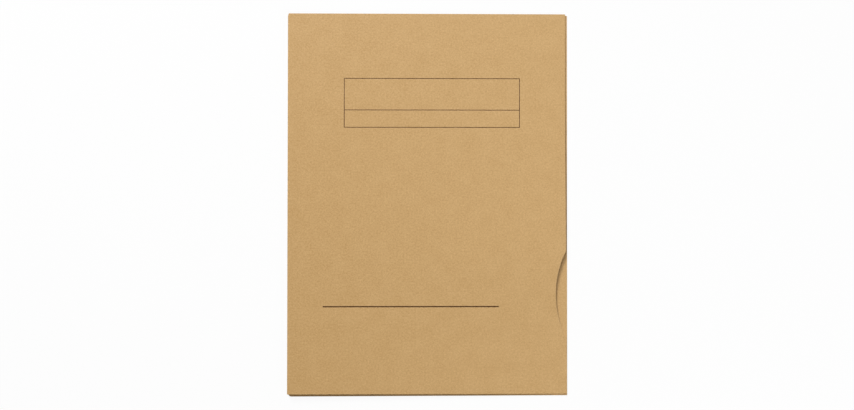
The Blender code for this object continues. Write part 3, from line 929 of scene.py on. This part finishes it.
# %% Compressor bar
BAR_CORNER, BAR_CORNER_END = 3 * MM, 0.05 * MM
GROOVE_HALF, GROOVE_WALL, GROOVE_DEPTH = 3.3 * MM, 0.8 * MM, 0.5 * MM
BAR_SLOT_NEAR = BEND.y - 4.35 * MM
DIMPLE_INSET, DIMPLE_Y = 1.1 * MM, 52.9 * MM
DIMPLE_RADIUS, DIMPLE_HEIGHT = 0.8 * MM, 0.4 * MM

bar_half_x = (bar_high.x - bar_low.x) / 2
bar_half_y = (bar_high.y - bar_low.y) / 2
groove_top = GROOVE_HALF + GROOVE_WALL
straight = bar_half_y - BAR_CORNER
columns = mirrored(stations((0, SLOT_X, 5), (SLOT_X, GROOVE_HALF, 1), (GROOVE_HALF, groove_top, 8),
                            (groove_top, bar_half_x, 9)))
rows = mirrored(stations((0, BAR_SLOT_NEAR, 12), (BAR_SLOT_NEAR, SLOT_FAR, 4),
                         (SLOT_FAR, DIMPLE_Y - MM, 5), (DIMPLE_Y - MM, DIMPLE_Y + MM, 10),
                         (DIMPLE_Y + MM, straight, 2), (straight, bar_half_y, 6)))
across, up = np.meshgrid(columns, rows)
end = bar_half_y - corner_inset(np.maximum(bar_half_x - abs(across), BAR_CORNER_END), BAR_CORNER)
past = np.clip(abs(up) - straight, 0, None)
y = np.sign(up) * (np.minimum(abs(up), straight) + past * (end - straight) / BAR_CORNER)
height = GROOVE_DEPTH * smooth((abs(across) - GROOVE_HALF) / GROOVE_WALL)
from_dimple = np.hypot(abs(across) - (bar_half_x - DIMPLE_INSET), abs(y) - DIMPLE_Y)
height += DIMPLE_HEIGHT * (1 - smooth(from_dimple / DIMPLE_RADIUS))
middle = grid(FASTENER_X + across, y, bar_low.z + STEEL / 2 + height)
slots = slot_cells(columns, rows, BAR_SLOT_NEAR, SLOT_FAR)
bar = add_steel("compressor_bar_strip", middle, middle[:, :, :2], NICKEL, slots)
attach(bar, "bar")
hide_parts("compressor_bar")

# %% [markdown]
# ## The sliding clips
# Each clip is a short piece of strip bent round both wings of the bar, so it can slide along but not lift
# off. Three pressed ribs across its roof give the thumb a grip. Bump in the material could draw the ribs,
# but they would have no outline. So the section is a path with four bends, and the ribs are a height added
# to the roof.

# %% Clips
CLIP_BEND, CLIP_BEND_CELLS = 0.3 * MM, 4
CLIP_ROWS, ROOF_STATIONS = 49, 17
HOOK_TIP = 1.4 * MM
RIB_PLACES = (-1.8 * MM, 0, 1.8 * MM)
RIB_HALF, RIB_HEIGHT = 0.6 * MM, 0.3 * MM
RIB_END, RIB_END_EASE = 4.2 * MM, 0.8 * MM


def clip_section(outer, bottom, roof, tip):
    """Path of a clip from one hook's tip, over its roof, to the other's."""
    half = ((tip, bottom), (outer, bottom), (outer, roof))
    corners = [Vector((-x, z)) for x, z in half] + [Vector(point) for point in reversed(half)]
    path = [corners[0]]
    for before, corner, after in zip(corners, corners[1:], corners[2:]):
        path += bend_points(before, corner, after, CLIP_BEND, CLIP_BEND_CELLS)
        if corner == corners[2]:
            roof_x = np.linspace(path[-1].x, -path[-1].x, ROOF_STATIONS)[1:-1]
            path += [Vector((x, roof)) for x in roof_x]
    return path + [corners[-1]]


def make_clip(name, node):
    """One clip round the bar, at its node's place."""
    low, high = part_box(node)
    outer = (high.x - low.x) / 2 - STEEL / 2
    roof = high.z - RIB_HEIGHT - STEEL / 2
    tip = outer + STEEL / 2 - STEEL - HOOK_TIP
    path = clip_section(outer, low.z + STEEL / 2, roof, tip)
    path_x, path_z = np.array(path).T
    rows = np.linspace(low.y, high.y, CLIP_ROWS)
    from_middle = rows - (low.y + high.y) / 2
    ribs = sum(1 - smooth(abs(from_middle - rib) / RIB_HALF) for rib in RIB_PLACES)
    on_roof = path_z > roof - CLIP_BEND / 2
    window = on_roof * (1 - smooth((abs(path_x) - RIB_END) / RIB_END_EASE))
    middle = grid(FASTENER_X + path_x, rows[:, None], path_z + RIB_HEIGHT * ribs[:, None] * window)
    clip = add_steel(name, middle, unrolled(middle, path_lengths(path), across=1), NICKEL)
    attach(clip, node)
    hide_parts(node)
    return clip


upper_clip = make_clip("slider_clip_upper", "slider_upper")
lower_clip = make_clip("slider_clip_lower", "slider_lower")

# %% [markdown]
# ## Light, floor and camera
# The photo was taken from above, a little below the page's middle, so the camera looks almost straight
# down. A broad soft lamp far beyond the top of the page, to the left, makes the shadows in the notch and
# along the lower edge. A nearer lamp lights the top, a weak one opposite lifts the lower right, and an even
# sky fills the rest. None of these shows in reflections, because flat steel would burn out in them. Gloss
# has lamps of its own in the same places: one for the board's dull sheen, and three dim ones for the
# steel's glints. Two sets of linked pieces would change the light a little from run to run, so only the
# steel is linked, to its own lamps and away from the other.
# The floor and the sky are white to the camera and in reflections, and pale grey as a light. Near the
# folder the floor keeps a share of its shadow, and further out it fades into the sky.

# %% Even sky
WHITE = (1, 1, 1, 1)
SKY_LIGHT = 0.11


def seen_directly(tree):
    """1 for what the camera, a reflection or clear glass sees, and 0 for light that falls on things."""
    ray = place(tree, "LightPath").outputs
    reflected = reckon(tree, "MAXIMUM", ray["Is Glossy Ray"], ray["Is Transmission Ray"])
    return reckon(tree, "MAXIMUM", ray["Is Camera Ray"], reflected)


sky = bpy.data.worlds.new("even sky")
sky.use_nodes = True
scene.world = sky
tree = sky.node_tree
background = tree.nodes["Background"].inputs
background["Color"].default_value = WHITE
tree.links.new(add_share(tree, SKY_LIGHT, seen_directly(tree), 1 - SKY_LIGHT), background["Strength"])
print("the sky lights things at", SKY_LIGHT)

# %% White floor
FLOOR_HALF = 3.0
FLOOR_DROP = 0.2 * MM
FLOOR_DULL, FLOOR_BRIGHT = (0.86, 0.86, 0.86, 1), (0.9, 0.9, 0.9, 1)
FLOOR_SPECKLE = {"Scale": 40.0, "Detail": 2.0}
FLOOR_ROUGHNESS, FLOOR_SPECULAR = 0.9, 0.1
SHADOW_SHARE = 0.09
SHADOW_NEAR, SHADOW_FAR = 0.3, 1.0

paper, tree, shader = new_finish("white floor")
speckle = place(tree, "TexNoise", FLOOR_SPECKLE).outputs[0]
tree.links.new(mix_colour(tree, speckle, FLOOR_DULL, FLOOR_BRIGHT), shader.inputs["Base Color"])
shader.inputs["Roughness"].default_value = FLOOR_ROUGHNESS
shader.inputs["Specular IOR Level"].default_value = FLOOR_SPECULAR
glow = place(tree, "Emission", {"Color": WHITE, "Strength": 1.0})
position = place(tree, "NewGeometry").outputs["Position"]
away = place(tree, "VectorMath", {0: position}, operation="LENGTH").outputs["Value"]
shown = remap(tree, away, SHADOW_NEAR, SHADOW_FAR, 1 - SHADOW_SHARE, 1.0)
share = reckon(tree, "MULTIPLY", seen_directly(tree), shown)
blend = place(tree, "MixShader", {0: share, 1: shader.outputs[0], 2: glow.outputs[0]})
tree.links.new(blend.outputs[0], tree.nodes["Material Output"].inputs["Surface"])

floor_mesh = bpy.data.meshes.new("floor")
sides = ((-1, -1), (1, -1), (1, 1), (-1, 1))
corners = [(x * FLOOR_HALF, y * FLOOR_HALF, -FLOOR_DROP) for x, y in sides]
floor_mesh.from_pydata(corners, [], [range(len(corners))])
floor = add_piece("floor", floor_mesh, paper)

# %% Lamps
KEY_PLACE = (-1.33, 2.31, 1.77)
TOP_PLACE = (-0.27, 0.64, 1.10)
FILL_PLACE = (0.62, -0.58, 0.51)
STEEL_PIECES = (base, upper_prong, lower_prong, bar, upper_clip, lower_clip)


def soft_lamp(name, position, size, watts):
    """A round soft lamp that points at the folder and lights it, but adds no gloss."""
    lamp = bpy.data.lights.new(name, "AREA")
    lamp.shape = "DISK"
    lamp.size = size
    lamp.energy = watts
    holder = bpy.data.objects.new(name, lamp)
    holder.location = position
    holder.rotation_euler = Vector(position).to_track_quat("Z", "Y").to_euler()
    holder.visible_glossy = False
    scene.collection.objects.link(holder)
    print(name, "gives", watts, "W")
    return holder


def gloss_lamp(name, position, link, size, watts):
    """A round lamp that shows only as gloss, on the steel (INCLUDE) or on all else (EXCLUDE)."""
    holder = soft_lamp(name, position, size, watts)
    holder.visible_glossy = True
    holder.visible_diffuse = False
    steel = bpy.data.collections.new(name + "_steel")
    for piece in STEEL_PIECES:
        steel.objects.link(piece)
    for linked in steel.collection_objects:
        linked.light_linking.link_state = link
    holder.light_linking.receiver_collection = steel


soft_lamp("key_lamp", KEY_PLACE, size=1.2, watts=89.5)
soft_lamp("top_lamp", TOP_PLACE, size=0.4, watts=5.1)
soft_lamp("fill_lamp", FILL_PLACE, size=0.5, watts=2.9)
gloss_lamp("board_sheen", TOP_PLACE, "EXCLUDE", size=0.4, watts=6.3)
gloss_lamp("steel_glint_key", KEY_PLACE, "INCLUDE", size=1.2, watts=3.2)
gloss_lamp("steel_glint_top", TOP_PLACE, "INCLUDE", size=0.8, watts=1.5)
gloss_lamp("steel_glint_fill", FILL_PLACE, "INCLUDE", size=0.6, watts=0.8)

# %% Camera
CAMERA_PLACE = Vector((-5.9 * MM, -22.7 * MM, 1.0))
CAMERA_TARGET = Vector((-0.4 * MM, -0.4 * MM, 3 * MM))
CAMERA_LENS, CAMERA_SENSOR = 50, 36

camera = bpy.data.objects.new("camera", bpy.data.cameras.new("camera"))
camera.data.lens = CAMERA_LENS
camera.data.sensor_width = CAMERA_SENSOR
camera.location = CAMERA_PLACE
backwards = (CAMERA_PLACE - CAMERA_TARGET).normalized()
rightwards = Vector((0, 1, 0)).cross(backwards).normalized()
upwards = backwards.cross(rightwards)
camera.rotation_euler = Matrix((rightwards, upwards, backwards)).transposed().to_euler()
scene.collection.objects.link(camera)
scene.camera = camera
scene.view_settings.view_transform = "Standard"
print("camera looks from", in_mm(CAMERA_PLACE), "mm")
